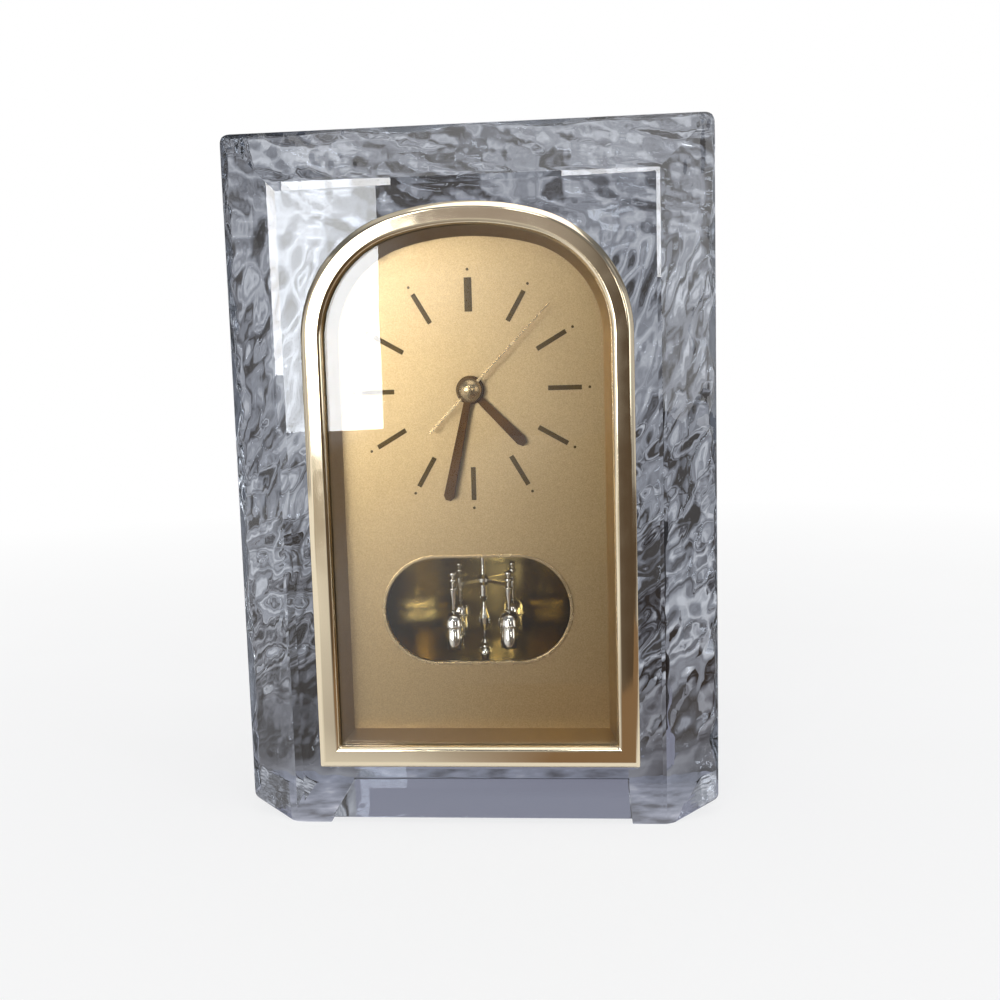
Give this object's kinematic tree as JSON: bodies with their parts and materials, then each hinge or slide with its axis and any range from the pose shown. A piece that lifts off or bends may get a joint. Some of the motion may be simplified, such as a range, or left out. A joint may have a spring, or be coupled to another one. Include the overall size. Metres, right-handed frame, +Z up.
{
  "type": "crystal mantel clock",
  "caption": "Moulded glass block with an arched gold dial, hands, and a turning pendulum behind a window, standing on flat feet.",
  "frame": {"origin": "middle of the bounding box's base, on the plane of the feet", "axes": "+Z up, the dial faces -Y, +X to the viewer's right"},
  "size_m": [0.142, 0.056, 0.204],
  "materials": {
    "crystal": "polished front, moulded ripple on sides, top and back",
    "lens": "polished",
    "polished_gold": "polished pale gold plate",
    "reveal_gold": "satin gold",
    "dial_gold": "satin champagne gold with fine grain",
    "marker_brown": "semi-gloss olive brown",
    "hand_bronze": "polished brown gold",
    "pale_gold": "polished",
    "chrome": "polished",
    "chamber_bronze": "mirror-like olive gold",
    "sleeve_grey": "satin",
    "black_plastic": "fine texture",
    "white_plastic": "moulded",
    "steel": "turned",
    "copper": "varnished wire",
    "rubber": "matte",
    "board_green": "lacquered",
    "cell_wrap": "gloss wrap"
  },
  "bodies": {
    "case": {"crystal_block": "crystal", "bezel": "polished_gold", "front_gasket": "rubber", "front_lens": "lens", "case_sleeve": "sleeve_grey", "inner_frame": "reveal_gold", "dial_plate": "dial_gold", "hour_markers": "marker_brown", "hour_dots": "marker_brown", "window_trim": "pale_gold", "mount_frame": "black_plastic", "movement_case": "black_plastic", "movement_lid": "black_plastic", "movement_screws": "steel", "circuit_board": "board_green", "drive_coil": "copper", "stator": "steel", "quartz_can": "steel", "battery": "cell_wrap", "contact_plus": "steel", "contact_minus": "steel", "pendulum_chamber": "chamber_bronze", "chamber_screws": "steel", "pendulum_drive_case": "black_plastic", "pendulum_coil": "copper", "pendulum_bearing": "pale_gold", "rear_gasket": "rubber", "rear_cover": "black_plastic", "cover_screws": "steel"},
    "seconds": {"second_hand": "pale_gold", "hand_cap": "pale_gold", "fourth_wheel": "white_plastic"},
    "minutes": {"minute_hand": "hand_bronze", "cannon_pinion": "white_plastic"},
    "hours": {"hour_hand": "hand_bronze", "hour_wheel": "white_plastic"},
    "setting": {"minute_wheel": "white_plastic", "set_knob": "white_plastic"},
    "centre": {"centre_wheel": "white_plastic"},
    "third": {"third_wheel": "white_plastic"},
    "fifth": {"fifth_wheel": "white_plastic"},
    "rotor": {"rotor": "steel"},
    "pendulum": {"pendulum_stem": "chrome", "pendulum_arms": "chrome", "pendulum_posts": "chrome", "pendulum_weights": "chrome", "pendulum_finial": "chrome", "pendulum_magnet": "steel"},
    "door": {"battery_door": "black_plastic"}
  },
  "joints": [
    {"name": "second_hand_turn", "type": "hinge", "parent": "case", "child": "seconds", "pos_m": [0, -0.01435, 0.1284], "axis": [0, 1, 0], "continuous": true},
    {"name": "rotor_turn", "type": "hinge", "parent": "case", "child": "rotor", "pos_m": [0.01544, -0.01435, 0.13045], "axis": [0, 1, 0], "continuous": true},
    {"name": "fifth_wheel_turn", "type": "hinge", "parent": "case", "child": "fifth", "pos_m": [0.0098, -0.01435, 0.1284], "axis": [0, 1, 0], "continuous": true},
    {"name": "third_wheel_turn", "type": "hinge", "parent": "case", "child": "third", "pos_m": [0, -0.01435, 0.1382], "axis": [0, 1, 0], "continuous": true},
    {"name": "centre_wheel_turn", "type": "hinge", "parent": "case", "child": "centre", "pos_m": [0, -0.01435, 0.1284], "axis": [0, 1, 0], "continuous": true},
    {"name": "minute_hand_turn", "type": "hinge", "parent": "case", "child": "minutes", "pos_m": [0, -0.01435, 0.1284], "axis": [0, 1, 0], "continuous": true},
    {"name": "setting_turn", "type": "hinge", "parent": "case", "child": "setting", "pos_m": [-0.01, -0.01435, 0.1284], "axis": [0, 1, 0], "continuous": true},
    {"name": "hour_hand_turn", "type": "hinge", "parent": "case", "child": "hours", "pos_m": [0, -0.01435, 0.1284], "axis": [0, 1, 0], "continuous": true},
    {"name": "pendulum_swing", "type": "hinge", "parent": "case", "child": "pendulum", "pos_m": [0, 0.00325, 0.06], "axis": [0, 0, 1], "range_deg": [-135, 135]},
    {"name": "door_swing", "type": "hinge", "parent": "case", "child": "door", "pos_m": [0, 0.02705, 0.0994], "axis": [-1, 0, 0], "range_deg": [0, 95]}
  ],
  "couplings": [
    {"joint": "rotor_turn", "follows": "second_hand_turn", "ratio": 30},
    {"joint": "fifth_wheel_turn", "follows": "second_hand_turn", "ratio": -6},
    {"joint": "third_wheel_turn", "follows": "second_hand_turn", "ratio": -0.13333},
    {"joint": "centre_wheel_turn", "follows": "second_hand_turn", "ratio": 0.016667},
    {"joint": "setting_turn", "follows": "minute_hand_turn", "ratio": -0.33333},
    {"joint": "hour_hand_turn", "follows": "minute_hand_turn", "ratio": 0.083333}
  ]
}
